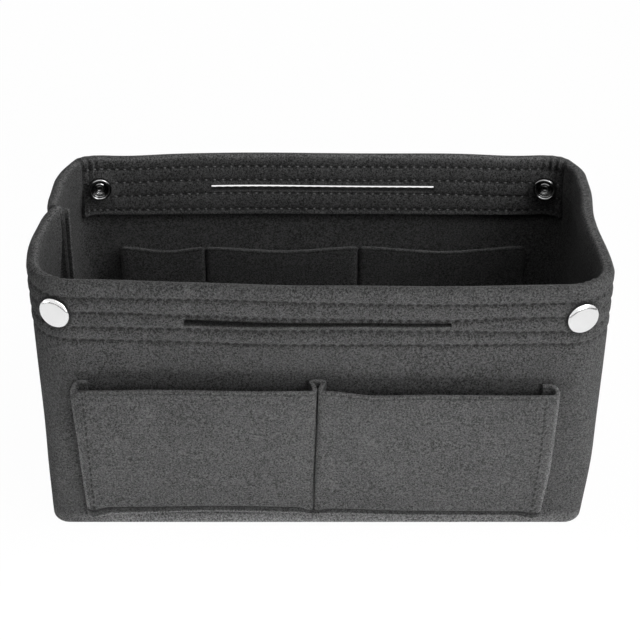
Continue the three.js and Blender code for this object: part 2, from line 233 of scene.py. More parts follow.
def addObject(name, verts, faces, material, sharpAngle=40.0, fluffAndHighlight=None, paintedShade=None):
    mesh = bpy.data.meshes.new(name)
    mesh.from_pydata([tuple(v) for v in verts], [], faces)
    for attribute, values in (("fluffAndHighlight", fluffAndHighlight), ("paintedShade", paintedShade)):
        if values:
            mesh.attributes.new(attribute, "FLOAT", "POINT").data.foreach_set("value", values)
    work = bmesh.new()
    work.from_mesh(mesh)
    bmesh.ops.delete(work, geom=[v for v in work.verts if not v.link_faces], context="VERTS")
    bmesh.ops.recalc_face_normals(work, faces=work.faces)
    work.to_mesh(mesh)
    work.free()
    mesh.shade_smooth()
    mesh.set_sharp_from_angle(angle=math.radians(sharpAngle))
    mesh.materials.append(material)
    obj = bpy.data.objects.new(name, mesh)
    bpy.context.scene.collection.objects.link(obj)
    return obj


# Faces between rings of points, all numbered in one run
def ringFaces(rings, count, base=0):
    faces = []
    for r in range(rings - 1):
        for k in range(count):
            a, b = base + r * count + k, base + r * count + (k + 1) % count
            faces.append((a, b, b + count, a + count))
    return faces


def tubeFaces(rings, count, base=0):
    last = base + (rings - 1) * count
    ends = [tuple(range(base, base + count))[::-1], tuple(range(last, last + count))]
    return ringFaces(rings, count, base) + ends


def stripFaces(base, count, steps):
    # closes one flat ring of felt from its two faces
    return [(base + k, base + k + 1, base + count - 2 - k, base + count - 1 - k) for k in range(steps)]


def grey(tone):
    return tone, tone, tone, 1


def addNode(tree, kind, values=None, **options):
    # each value is a number, a colour or the socket that feeds the node
    node = tree.nodes.new(kind)
    for option, value in options.items():
        setattr(node, option, value)
    for socket, value in (values or {}).items():
        if isinstance(value, bpy.types.NodeSocket):
            tree.links.new(value, node.inputs[socket])
        else:
            node.inputs[socket].default_value = value
    return node


def maths(tree, kind, *values, clamp=False):
    node = addNode(tree, "ShaderNodeMath", dict(enumerate(values)), operation=kind, use_clamp=clamp)
    return node.outputs[0]


def mixTones(tree, share, a, b):
    mix = addNode(tree, "ShaderNodeMix", {"Factor": share, "A": a, "B": b}, data_type="RGBA")
    return mix.outputs["Result"]


def tangle(tree, scale, detail=2.0, distortion=0.0):
    coord = addNode(tree, "ShaderNodeTexCoord")
    values = {"Vector": coord.outputs["Object"], "Scale": scale, "Detail": detail, "Distortion": distortion}
    return addNode(tree, "ShaderNodeTexNoise", values).outputs["Fac"]


def newMaterial(name, plain):
    material = bpy.data.materials.new(name)
    material.use_nodes = True
    shader = material.node_tree.nodes["Principled BSDF"]
    for socket, value in plain.items():
        shader.inputs[socket].default_value = value
    return material, material.node_tree, shader


# Shared effect: tangled felt fibres, as a shade and a height
fibre = {
    "scales": {"Fine": 1250.0, "Hair": 520.0, "Mottle": 90.0},
    "hairSharp": 14.0,
    "hairShade": 0.16,
    "mottleShade": 0.12,
    "fineHeight": 0.8,
    "hairHeight": 0.5,
}


def makeFibreGroup():
    tree = bpy.data.node_groups.new("feltFibres", "ShaderNodeTree")
    for name, value in fibre["scales"].items():
        socket = tree.interface.new_socket(name, in_out="INPUT", socket_type="NodeSocketFloat")
        socket.default_value = value
    for name in ("Shade", "Height"):
        tree.interface.new_socket(name, in_out="OUTPUT", socket_type="NodeSocketFloat")
    start, end = addNode(tree, "NodeGroupInput"), addNode(tree, "NodeGroupOutput")

    def part(value, amount):
        return maths(tree, "MULTIPLY", value, fibre[amount])

    fine = tangle(tree, start.outputs["Fine"], 2.0, 0.5)
    hair = tangle(tree, start.outputs["Hair"], 2.0, 2.8)
    mottle = tangle(tree, start.outputs["Mottle"], 3.0, 0.6)
    # thin curved lines where the hair noise crosses its middle
    away = maths(tree, "ABSOLUTE", maths(tree, "SUBTRACT", hair, 0.5))
    ridge = maths(tree, "SUBTRACT", 1.0, part(away, "hairSharp"), clamp=True)
    shade = maths(tree, "ADD", fine, part(ridge, "hairShade"))
    shade = maths(tree, "ADD", shade, part(mottle, "mottleShade"))
    height = maths(tree, "ADD", part(fine, "fineHeight"), part(ridge, "hairHeight"))
    tree.links.new(shade, end.inputs["Shade"])
    tree.links.new(height, end.inputs["Height"])
    return tree


fibreGroup = makeFibreGroup()
feltLook = {
    "plain": {"Roughness": 0.96, "Specular IOR Level": 0.12, "Sheen Weight": 0.1, "Sheen Roughness": 0.55},
    "shades": (0.45, 0.80),  # where the dark and the pale tone of the fibres are reached
    "bump": {"Strength": 0.7, "Distance": 0.0008},
}


def makeFelt(name, dark, light, lift, paintedDark):
    material, tree, shader = newMaterial(name, feltLook["plain"])
    fibres = addNode(tree, "ShaderNodeGroup", node_tree=fibreGroup)

    def fibreColour(gain):
        ramp = addNode(tree, "ShaderNodeValToRGB", {"Fac": fibres.outputs["Shade"]})
        for element, position, tone in zip(ramp.color_ramp.elements, feltLook["shades"], (dark, light)):
            element.position = position
            element.color = grey(tone * gain)
        return ramp.outputs["Color"]

    def share(attribute):
        return addNode(tree, "ShaderNodeAttribute", attribute_name=attribute).outputs["Fac"]

    # cut and folded edges are fluffed up and paler, and painted highlight is added the same way; painted
    # shade darkens sewn grooves, creases and gaps
    withFluffAndHighlight = mixTones(tree, share("fluffAndHighlight"), fibreColour(1.0), fibreColour(lift))
    withPaintedShade = mixTones(tree, share("paintedShade"), withFluffAndHighlight, grey(paintedDark))
    bump = addNode(tree, "ShaderNodeBump", feltLook["bump"] | {"Height": fibres.outputs["Height"]})
    tree.links.new(withPaintedShade, shader.inputs["Base Color"])
    tree.links.new(bump.outputs["Normal"], shader.inputs["Normal"])
    return material


def makeMetal(name, tone, low, high):
    # faint smudges change the roughness and the tone
    material, tree, shader = newMaterial(name, {"Metallic": 1.0})
    smudge = tangle(tree, 320.0, 4.0)
    rough = addNode(tree, "ShaderNodeMapRange", {"Value": smudge, "To Min": low, "To Max": high})
    tree.links.new(rough.outputs["Result"], shader.inputs["Roughness"])
    tree.links.new(mixTones(tree, smudge, grey(tone * 0.93), grey(tone)), shader.inputs["Base Color"])
    return material


def makeThread(name, dark, light):
    material, tree, shader = newMaterial(name, {"Roughness": 0.8})
    twist = tangle(tree, 1800.0)
    tree.links.new(mixTones(tree, twist, grey(dark), grey(light)), shader.inputs["Base Color"])
    return material


# lift scales the pale tone where fluff and painted highlight lie (largest on the base, for its painted
# bounce light); the last figure is the tone of the painted shade
wallFelt = makeFelt("wallFelt", 0.023, 0.137, 2.0, 0.010)
# a darker copy of the same felt for the inner pockets: painted shade for the inside of the box
insideFeltShaded = makeFelt("insideFeltShaded", 0.022, 0.118, 1.9, 0.009)
baseFelt = makeFelt("baseFelt", 0.023, 0.137, 4.0, 0.010)
pocketFelt = makeFelt("pocketFelt", 0.024, 0.143, 3.0, 0.010)
# near-black outside thread: painted shade standing in for the shadowed stitch pits and grooves
outerThreadShaded = makeThread("outerThreadShaded", 0.012, 0.034)
innerThread = makeThread("innerThread", 0.11, 0.24)
capSilver = makeMetal("capSilver", 0.84, 0.12, 0.20)
darkNickel = makeMetal("darkNickel", 0.32, 0.12, 0.22)
# a darker copy of the nickel for the caps' posts: painted shade deep inside the sockets
postNickelShaded = makeMetal("postNickelShaded", 0.18, 0.16, 0.28)
print("materials made")

# Walls: felt turned over at the mouth, with a slit to put the fingers through
wall = {
    "spacing": 1.05,
    "cornerSteps": 32,
    "lowerSteps": 22,
    "grooveDepth": 0.45,
    "pitDepth": 0.6,
    "grooveWidth": 1.0,
    "puff": 0.35,
    "rowLevels": (-2.3, -1.5, -0.9, -0.45, 0.0, 0.45, 0.9, 1.5, 2.3),
    "lastRowLevels": (-1.3, -0.9, -0.45, 0.0, 0.45, 0.9, 1.5, 2.3),
    "pucker": 0.7,  # gathers where the hem is folded round the corners
    "puckerLength": 4.2,
    "hemEndSteps": (-1.2, 0.0, 0.9, 1.9, 3.4),  # added stations at the hem's end, in degrees
    "hemEndGroove": 0.7,
    "innerSink": 0.6,
    "upperLipSag": {-1: (1.2, 1.1), 1: (0.4, 0.4)},  # at the slit's left and right end
    "lowerLipLift": {-1: (0.3, 1.6), 1: (0.3, 0.3)},
    "rimSteps": 6,
    "seamNick": 0.8,  # the left seam draws the ends of the felt in
    "seamThin": 0.75,  # and the rolled rim is thinner behind it
}
stitch = {
    "pitch": 4.25,
    "length": 2.0,
    "innerLength": 1.5,
    "radius": 0.42,
    "sink": 0.35,
    "stray": 0.16,  # how far a stitch may turn out of its row
    "shape": ((-1.0, 0.25, -0.8), (-0.7, 0.85, 0.0), (0.0, 1.0, 0.25), (0.7, 0.85, 0.0), (1.0, 0.25, -0.8)),
    "sidePitch": 3.4,  # at the ends of a pocket
    "sideLength": 2.4,
    "sideWide": 1.35,
    "sideStray": 0.25,
}
# shares of paler fluffed felt and painted highlight, and of painted shade
tones = {
    # fluffed felt on top of the rim, partly painted highlight
    "rim": 0.25,
    "rimHeights": (131.0, 134.8),
    # brushed fluff along the inner edge of the rim, with a painted highlight
    "brushedRimHighlight": 0.6,
    "brushedHighlightHeight": 134.5,
    # painted highlight at the foot of the walls, standing in for light bounced off the floor
    "foot": 0.4,
    "footHighlightMiddle": 0.6,  # added away from the ends
    "hemEdge": 0.6,
    # painted shadow on the wall just under the inside hem
    "underHemShadow": 0.85,
    # painted shade in the valleys of the hem's gathers
    "gather": 0.6,
    # painted shade at the end of the inside hem
    "hemEnd": 0.5,
    # painted shade of the sewn rows' grooves and pits
    "rowBetween": 0.14,  # of a sewn row, between its pits
    # painted shade on the faces of the slit
    "slit": 0.8,
    # painted shadow ring round each snap cap
    "underCapShadow": 0.8,
}


# Plan stations, each as (kind, end, side, value)
def cornerPath(signX, side):
    turns = [90.0 * i / wall["cornerSteps"] for i in range(wall["cornerSteps"] + 1)]
    turns = sorted(turns + [box["hemEndTurns"][signX, side] + shift for shift in wall["hemEndSteps"]])
    return [("corner", signX, side, turn) for turn in turns]


def longPath(side):
    count = int(2 * slotReach / wall["spacing"])
    shares = [-1 + 2 * i / count for i in range(1, count)]
    for share in slotShares[side]:
        nearest = min(range(len(shares)), key=lambda i: abs(shares[i] - share))
        shares[nearest] = share
    flat = [("flat", 0, side, share) for share in shares]
    return cornerPath(-1, side)[::-1] + flat + cornerPath(1, side)


def gussetPath(signX, side):
    count = int((box["halfDepth"] - box["rimCorner"]) / wall["spacing"])
    return [("gusset", signX, side, 1 - i / count) for i in range(count + 1)]


def stationSpot(station, depth, z):
    kind, signX, side, value = station
    radius = cornerRound(z)
    if kind == "flat":
        return value * (box["halfLength"] - radius), side * (box["halfDepth"] - depth)
    if kind == "gusset":
        y = max(value * (box["halfDepth"] - radius), box["halfGap"])
        return signX * (box["halfLength"] - depth), side * y
    angle = math.radians(value)
    x = box["halfLength"] - radius + (radius - depth) * math.sin(angle)
    y = box["halfDepth"] - radius + (radius - depth) * math.cos(angle)
    return signX * x, side * y


def pathRuns(path):
    spots = [stationSpot(s, 0.0, snapHeight) for s in path]
    runs = [0.0]
    for a, b in zip(spots, spots[1:]):
        runs.append(runs[-1] + math.dist(a, b))
    return runs


def hemmed(station):
    return station[0] == "flat" or station[0] == "corner" and station[3] <= box["hemEndTurns"][station[1:3]]


def stationLevels(rows):
    low, high = box["baseTop"], hemLow - 3.0
    levels = [low + (high - low) * i / wall["lowerSteps"] for i in range(wall["lowerSteps"] + 1)]
    levels += [hemLow - 1.5, hemLow - 0.05, hemLow + 0.05, hemLow + 0.7]
    for row in rows[:-1]:
        levels += [row + shift for shift in wall["rowLevels"]]
    levels += [rows[-1] + shift for shift in wall["lastRowLevels"]]
    return sorted(levels + slotLevels) + [box["height"] - box["felt"]]


def pitShare(run):
    return (0.5 - 0.5 * math.cos(2 * math.pi * run / stitch["pitch"])) ** 1.4


def rowSink(rows, z, run):
    near = max(bell(z - row, wall["grooveWidth"]) for row in rows)
    depth = near * (wall["grooveDepth"] + wall["pitDepth"] * pitShare(run))
    for high, low in zip(rows, rows[1:]):
        if low < z < high:
            depth -= wall["puff"] * math.sin(math.pi * (z - low) / (high - low)) ** 2
    return depth


# painted shade along a sewn row, darkest in its pits
def rowShade(rows, z, run):
    near = max(1 - step(0.15, 0.95, abs(z - row)) for row in rows)
    return near * (tones["rowBetween"] + (1 - tones["rowBetween"]) * pitShare(run))


def innerDepth(station, rows, z, run):
    felt = box["felt"]
    if not hemmed(station):
        roll = felt * step(box["height"] - box["taperDrop"], box["height"] - box["rollDrop"], z)
        if station[0] == "gusset":
            behindSeam = station[1] < 0 < station[2]
            return felt + roll * (1 - behindSeam * wall["seamThin"] * bell(station[3], 0.2))
        return felt + roll - hemEndShade(station) * min(wall["hemEndGroove"], roll)
    if z < hemLow:
        return felt
    gather = hemGather(station, z) * wall["pucker"]
    edge = 0.3 if z < hemLow + 0.3 else 0.0
    sink = rowSink(rows, z, run + stitch["pitch"] / 2) * wall["innerSink"]
    return hemThick - edge - sink + gather * math.sin(2 * math.pi * run / wall["puckerLength"])


def hemGather(station, z):
    turn = station[3] if station[0] == "corner" else 0.0
    return step(6.0, 26.0, turn) * (0.3 + 0.7 * step(104.0, 130.0, z))


# near the inside hem's end: a deeper groove in the felt, and painted shade there
def hemEndShade(station):
    if station[0] != "corner" or hemmed(station):
        return 0.0
    return 1 - step(0.9, 5.5, station[3] - box["hemEndTurns"][station[1:3]])


# painted shade on the faces of the slit, deepest away from the eye's side of the lower lip
def slotShade(station, z, isInner):
    kind, signX, side, share = station
    if kind != "flat" or min(abs(z - level) for level in slotLevels) > 0.01:
        return 0.0
    if z < sum(slotLevels) / 2 and isInner == (side > 0):
        return 0.0  # the front edge of the lower lip stays pale
    first, last = slotShares[side]
    return tones["slit"] if first - 0.001 <= share <= last + 0.001 else 0.0


def lipMove(station, z):
    # soft lips of the slit: the upper one sags, the lower one lifts
    if station[0] != "flat":
        return 0.0
    low, high = slotLevels
    near = 1 - step(0.5, 0.8, abs(station[3]))
    left, right = wall["upperLipSag"][station[2]]
    sag = near * (left + (right - left) * step(-0.5, 0.5, station[3]))
    left, right = wall["lowerLipLift"][station[2]]
    lift = near * (left + (right - left) * step(-0.5, 0.1, station[3]))
    upper = step(low, high, z) * (1 - step(high, high + 5.0, z))
    lower = step(low - 5.0, low, z) * (1 - step(low, high, z))
    return lift * lower - sag * upper


# painted shadow ring in the felt round each snap cap
def snapShade(x, y, z):
    (midX, midY), (outX, outY), radius = snapSpot(math.copysign(1, x), math.copysign(1, y))
    across = math.hypot(x - (midX + outX * radius), y - (midY + outY * radius))
    return tones["underCapShadow"] * (1 - step(7.2, 9.4, math.hypot(across, z - snapHeight)))


# painted highlight near the floor, standing in for light bounced off it, strongest away from the ends
def footBounceHighlight(x, z):
    middle = 1 - step(92.0, 120.0, abs(x))
    return (1 - step(0.5, 11.0, z)) * (tones["foot"] + tones["footHighlightMiddle"] * middle)


def wallTones(station, rows, run, isInner, x, y, z):
    # how much fluff and painted highlight, and how much painted shade, the felt gets at one spot
    fluffAndHighlightShare = tones["rim"] * step(*tones["rimHeights"], z)
    if isInner:
        fluffAndHighlightShare += tones["brushedRimHighlight"] * (1 - step(0.25, 0.6, abs(z - tones["brushedHighlightHeight"])))
        shadeShares = [tones["hemEnd"] * hemEndShade(station) * step(98.0, 106.0, z)]
    else:
        fluffAndHighlightShare += footBounceHighlight(x, z)
        shadeShares = [snapShade(x, y, z)]
    if z < box["height"] - box["felt"] and (hemmed(station) or not isInner):
        shift = stitch["pitch"] / 2 if isInner else 0.0  # inside, the pits lie between the threads
        shadeShares += [rowShade(rows, z, run + shift), slotShade(station, z, isInner)]
    if isInner and hemmed(station):
        if z > hemLow:
            fluffAndHighlightShare = max(fluffAndHighlightShare, tones["hemEdge"] * (1 - step(0.1, 1.6, abs(z - hemLow - 0.3))))
            # painted shade in the gathers' valleys
            valley = 0.5 - 0.5 * math.sin(2 * math.pi * run / wall["puckerLength"])
            shadeShares.append(tones["gather"] * hemGather(station, z) * valley**2)
        else:
            # painted shadow under the hem's edge
            shadeShares.append(tones["underHemShadow"] * step(hemLow - 4.0, hemLow - 0.5, z))
    return fluffAndHighlightShare, max(shadeShares)


def sweepWall(name, path, seam=0.0):
    felt, top = box["felt"], box["height"] - box["felt"]
    arc = [math.pi / 2 * (i + 1) / wall["rimSteps"] for i in range(wall["rimSteps"])]
    verts, faces, fluffAndHighlight, paintedShade = [], [], [], []
    for station, run in zip(path, pathRuns(path)):
        x, y = stationSpot(station, 0.0, top)
        rows = rowHeights(x, y)
        levels = stationLevels(rows)
        nick = seam * bell(y, 1.3)
        outer = [(rowSink(rows, z, run) + nick, z) for z in levels]
        inner = [(innerDepth(station, rows, z, run), z) for z in levels]
        low, high = outer[-1][0], inner[-1][0]
        middle, radius = (low + high) / 2, (high - low) / 2
        outer += [(middle - radius * math.cos(a), top + felt * math.sin(a)) for a in arc]
        inner += [(middle + radius * math.cos(a), top + felt * math.sin(a)) for a in arc[:-1]]
        for isInner, column in ((False, outer), (True, inner[::-1])):
            for depth, z in column:
                x, y = stationSpot(station, depth, z)
                verts.append(place(x, y, z + lipMove(station, z)))
                fluffAndHighlightShare, paintedDark = wallTones(station, rows, run, isInner, x, y, z)
                fluffAndHighlight.append(fluffAndHighlightShare)
                paintedShade.append(paintedDark)
    half = len(levels) + len(arc)
    count = 2 * half - 1
    levels = stationLevels(rowHeights(*stationSpot(path[len(path) // 2], 0.0, top)))
    slotRows = [min(range(len(levels)), key=lambda j: abs(levels[j] - level)) for level in slotLevels]
    slotColumns = slotRange(path)
    for i in range(len(path) - 1):
        for j in range(count):
            inSlot = slotColumns[0] <= i < slotColumns[1] and (
                slotRows[0] <= j < slotRows[1] or slotRows[0] <= count - 2 - j < slotRows[1])
            if not inSlot:
                a, b = i * count + j, i * count + (j + 1) % count
                faces.append((a, b, b + count, a + count))
    faces += slotFaces(slotColumns, slotRows, count)
    for base in (0, (len(path) - 1) * count):
        faces += stripFaces(base, count, half - 2)
        faces.append((base + half - 2, base + half - 1, base + half))
    return addObject(name, verts, faces, wallFelt, fluffAndHighlight=fluffAndHighlight, paintedShade=paintedShade)


def slotRange(path):
    flat = [i for i, station in enumerate(path) if station[0] == "flat"]
    if not flat:
        return 0, 0
    ends = slotShares[path[flat[0]][2]]
    return tuple(min(flat, key=lambda i: abs(path[i][3] - share)) for share in ends)


def slotFaces(columns, rows, count):
    # edges of the slit, from the outer face to the inner one
    faces = []
    if columns[0] == columns[1]:
        return faces

    def pair(i, j):
        return i * count + j, i * count + count - 1 - j

    for i in range(*columns):
        for j in rows:
            (a, b), (c, d) = pair(i, j), pair(i + 1, j)
            faces.append((a, b, d, c))
    for j in range(*rows):
        for i in columns:
            (a, b), (c, d) = pair(i, j), pair(i, j + 1)
            faces.append((a, b, d, c))
    return faces


# Allowance of the left end seam: both ends of the felt strip stand inwards, side by side
seamAllowance = {
    "near": 0.3,  # from the middle of the seam
    "thick": 2.4,
    "start": 2.0,
    "reach": {-1: 7.0, 1: 9.2},  # front, back
    "low": 8.0,
    "high": 133.6,
    "round": 0.8,
    "levels": 40,
    "depths": 8,
    "flat": {-1: (0.0102, 0.123), 1: (0.011, 0.123)},
}


def seamFlange(name, signX, side):
    s = seamAllowance
    across = [s["near"] + s["thick"] * t for t in (0.0, 0.3, 0.7, 1.0)]
    reach = s["reach"][side]
    depths = [s["start"] + (reach - s["start"]) * i / s["depths"] for i in range(s["depths"] + 1)]
    levels = [s["low"] + (s["high"] - s["low"]) * i / s["levels"] for i in range(s["levels"] + 1)]
    verts, index, fluffAndHighlight, paintedShade = [], {}, [], []

    def spot(i, j, k):
        key = (i, j, k)
        if key not in index:
            outerEdge = i in (0, 3)
            pull = s["round"] * outerEdge * (j == s["depths"])
            inward, rise = j / s["depths"], k / s["levels"]
            drop = s["round"] * outerEdge * (rise == 1) + 0.8 * inward**2 * step(0.8, 1.0, rise)
            index[key] = len(verts)
            x = signX * (box["halfLength"] - depths[j] + pull)
            verts.append(place(x, side * across[i], levels[k] - drop))
            fluffAndHighlight.append(0.5 * (rise == 1) + 0.5 * (side > 0) * (inward == 1))
            dark = step(0.3, 0.6, inward) if side < 0 else 1 - step(0.75, 1.0, inward)
            paintedShade.append(0.75 * dark * (1 - step(0.94, 0.99, rise)))  # painted shade of the corner's shadow, none at the very top
        return index[key]

    faces = []
    sizes = (3, s["depths"], s["levels"])
    for axis in range(3):
        b, c = [n for n in range(3) if n != axis]
        for end in (0, sizes[axis]):
            for m in range(sizes[b]):
                for n in range(sizes[c]):
                    corner = []
                    for dm, dn in ((0, 0), (1, 0), (1, 1), (0, 1)):
                        key = [0, 0, 0]
                        key[axis], key[b], key[c] = end, m + dm, n + dn
                        corner.append(spot(*key))
                    faces.append(tuple(corner))
    return addObject(name, verts, faces, wallFelt, fluffAndHighlight=fluffAndHighlight, paintedShade=paintedShade)


def makeWalls():
    for wallName, side in wallSides:
        panel = sweepWall(wallName + "WallFelt", longPath(side))
        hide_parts(wallName + "_panel")
        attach(panel, wallName + "_wall")
        for endName, signX in boxEnds:
            nick = wall["seamNick"] if signX < 0 else 0.0
            half = sweepWall(f"{endName}{wallName.title()}GussetFelt", gussetPath(signX, side), nick)
            node = f"{endName}_gusset_{wallName}"
            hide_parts(node)
            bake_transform(half)
            if signX < 0:
                flange = seamFlange(f"left{wallName.title()}SeamFelt", signX, side)
                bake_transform(flange)


makeWalls()
print("walls and gussets sewn")


# Base felt: floor, rounded edge and the low turn-up
def makeBase():
    edge, steps, bend = box["baseRound"], 6, 1.5
    cornerPoints, edgePoints = 12, 24

    def ring(inset, z):
        radius = box["baseCorner"] - inset
        arcX, arcY = box["halfLength"] - box["baseCorner"], box["halfDepth"] - box["baseCorner"]
        corners = []
        for signX, signY, quarter in ((1, 1, 0), (-1, 1, 1), (-1, -1, 2), (1, -1, 3)):
            for i in range(cornerPoints + 1):
                angle = (quarter + i / cornerPoints) * math.pi / 2
                x = signX * arcX + radius * math.cos(angle)
                corners.append((x, signY * arcY + radius * math.sin(angle)))
        points = []
        for i, (x, y) in enumerate(corners):
            points.append((x, y, z))
            if i % (cornerPoints + 1) == cornerPoints:
                nextX, nextY = corners[(i + 1) % len(corners)]
                for k in range(1, edgePoints):
                    t = k / edgePoints
                    points.append((x + (nextX - x) * t, y + (nextY - y) * t, z))
        return points

    rings = [ring(box["baseCorner"] - 1.0, 0.0)]
    for i in range(steps + 1):
        angle = math.pi / 2 * i / steps
        rings.append(ring(edge - edge * math.sin(angle), edge - edge * math.cos(angle)))
    rings += [ring(0.0, box["baseTop"]), ring(box["felt"], box["baseTop"])]
    rings += [ring(box["felt"], box["felt"] + bend), ring(box["felt"] + bend, box["felt"])]
    rings.append(ring(box["baseCorner"] - 1.0, box["felt"]))
    verts, fluffAndHighlight = [], []
    outside = steps + 3  # rings up to the top of the turn-up
    for r, points in enumerate(rings):
        verts += [place(*p) for p in points]
        # painted bounce highlight on the base's outer faces, up to the top of the turn-up
        fluffAndHighlight += [footBounceHighlight(x, z) * (0 < r < outside) for x, y, z in points]
    base = addObject("baseFelt", verts, tubeFaces(len(rings), len(rings[0])), baseFelt, fluffAndHighlight=fluffAndHighlight)
    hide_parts("base_panel")
    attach(base, "base")


makeBase()
print("base laid")

# Pocket strips: pleated at their ends, tucked to the wall at each dividing seam, open at the mouth.
# Each seam is (x at the mouth, x at the foot); sewn and low give the bottom row and the raw edge along x.
outerPocket = {"slot": "felt_pocket", "felt": 2.3, "under": 6.6, "reach": 3.4, "foot": 2.3}
innerPocket = {"slot": "felt_inside", "felt": 2.1, "under": 3.4, "reach": 1.7, "foot": 2.2, "mouth": 4.6,
               "ears": (-3.4, -3.4, -3.4), "dips": (0.4, 0.4)}
pockets = {
    "frontOuter": outerPocket | {
        "node": "front_outer_pocket", "body": "front_wall", "wallY": -65.0, "out": -1,
        "seams": ((-112.4, -110.3), (-1.4, -3.2), (107.6, 106.4)), "stitched": (-107.6, 101.9),
        "top": ((-112, 82.8), (-98, 83.2), (-72, 84.4), (-46, 84.8),
                (2, 85.2), (26, 82.6), (50, 83.0), (107, 82.4)),
        "ears": (1.8, 1.9, 2.0), "dips": (3.2, 0.8), "mouth": 5.9,
        "sewn": ((-112, 12.6), (-100, 13.3), (-45, 14.1), (-12, 13.4),
                 (-3, 11.4), (6, 12.4), (46, 11.0), (107, 10.6)),
        "low": ((-112, 8.0), (-100, 8.8), (-51, 10.4), (-9, 9.4),
                (-3, 8.5), (6, 8.8), (46, 7.8), (107, 7.6)),
    },
    "backOuter": outerPocket | {
        "node": "back_outer_pocket", "body": "back_wall", "wallY": 65.0, "out": 1,
        "seams": ((-111.6, -110.6), (-1.0, -1.6), (107.8, 106.8)), "stitched": (-106.8, 102.2),
        "top": ((-112, 83.2), (-60, 83.0), (-1, 84.6), (60, 82.8), (108, 83.2)),
        "ears": (1.0, 1.2, 1.0), "dips": (1.6, 1.6), "mouth": 5.7,
        "sewn": ((-112, 11.6), (-50, 12.6), (-1, 11.4), (60, 12.8), (108, 11.4)),
        "low": ((-112, 8.0), (-50, 8.8), (-1, 8.2), (60, 9.0), (108, 8.0)),
    },
    "backInner": innerPocket | {
        "node": "back_inner_pocket", "body": "back_wall", "wallY": 62.0, "out": -1,
        "seams": ((-104.2, -103.4), (-60.0, -60.4), (20.0, 20.0), (106.5, 105.5)),
        "stitched": (-100.9, 103.2),
        "top": ((-103, 84.6), (-80, 82.4), (-60, 84.4), (-20, 82.2), (20, 84.6), (64, 82.2), (106, 84.8)),
        "sewn": ((-103, 11.6), (106, 11.6)), "low": ((-103, 8.2), (106, 8.2)),
    },
    "frontInner": innerPocket | {
        "node": "front_inner_pocket", "body": "front_wall", "wallY": -62.0, "out": 1,
        "seams": ((-104.0, -103.4), (0.0, 0.4), (104.0, 103.4)), "stitched": (-100.7, 100.7),
        "top": ((-104, 84.6), (-52, 82.2), (0, 84.6), (52, 82.2), (104, 84.6)),
        "sewn": ((-104, 11.6), (104, 11.6)), "low": ((-104, 8.2), (104, 8.2)),
    },
}
pleat = {
    "tail": (1.0, 0.8, 0.6),  # points on the felt tucked under
    "turnPoints": 11,
    "gap": 0.15,
    "tuckRoom": 2.6,
    "endRoom": 1.5,
    "spacing": 3.0,
    "lay": 0.3,
    "over": 0.1,
    "curl": 0.35,
    "swellRun": 2.6,
    "belly": 0.5,
    "footHeight": 8.0,
    "sewnHeight": 12.0,
    "flareHeight": 40.0,  # from here up the ends stand off their level
    "mouthHeight": 83.0,
    "endFelt": 6.0,  # length of felt that the two end folds and each tuck take up
    "tuckFelt": 14.0,
    "belowSewn": (0.0, 0.12, 0.4, 0.7, 0.88, 1.0),
    "aboveSewn": (0.3, 0.7, 1.2, 1.8, 2.6, 4.0, 6.5),
    "upperSteps": 20,
    "belowTop": (2.8, 1.8, 1.2, 0.6, 0.0),
}
# half of a tuck at a dividing seam: (added distance from the seam, share of the way out from the wall)
tuckShape = ((1.5, 1.0), (0.6, 0.95), (0.15, 0.84), (0.0, 0.68), (0.5, 0.45), (1.3, 0.22), (1.7, 0.07),
             (0.8, 0.0), (-0.7, 0.0))


def seamSpots(p, z):
    share = (z - pleat["footHeight"]) / (pleat["mouthHeight"] - pleat["footHeight"])
    return [low + (high - low) * share for high, low in p["seams"]]


def layOff(p):
    return pleat["lay"] + p["felt"] / 2  # to the middle of felt that lies on the wall


def standOff(p, x, z):
    seams = seamSpots(p, z)
    rise = z - alongTable(p["sewn"], x)
    lay = layOff(p)
    if rise <= 0:
        return lay + pleat["curl"] * step(0.5, 3.5, -rise)
    share = rise / (pleat["mouthHeight"] - pleat["sewnHeight"])
    swell = p["foot"] * swing(rise / pleat["swellRun"]) + (p["mouth"] - p["foot"]) * share**1.1
    for a, b in zip(seams, seams[1:]):
        if a < x < b:
            swell += pleat["belly"] * share * math.sin(math.pi * (x - a) / (b - a))
    return lay + swell


def panelOff(p, x, z):
    # near its ends the panel lies on the pleat behind it
    seams = seamSpots(p, z)
    onPleat = 1 - step(2.0, 14.0, min(x - seams[0], seams[-1] - x))
    return max(standOff(p, x, z), layOff(p) + (p["felt"] + pleat["over"]) * onPleat)


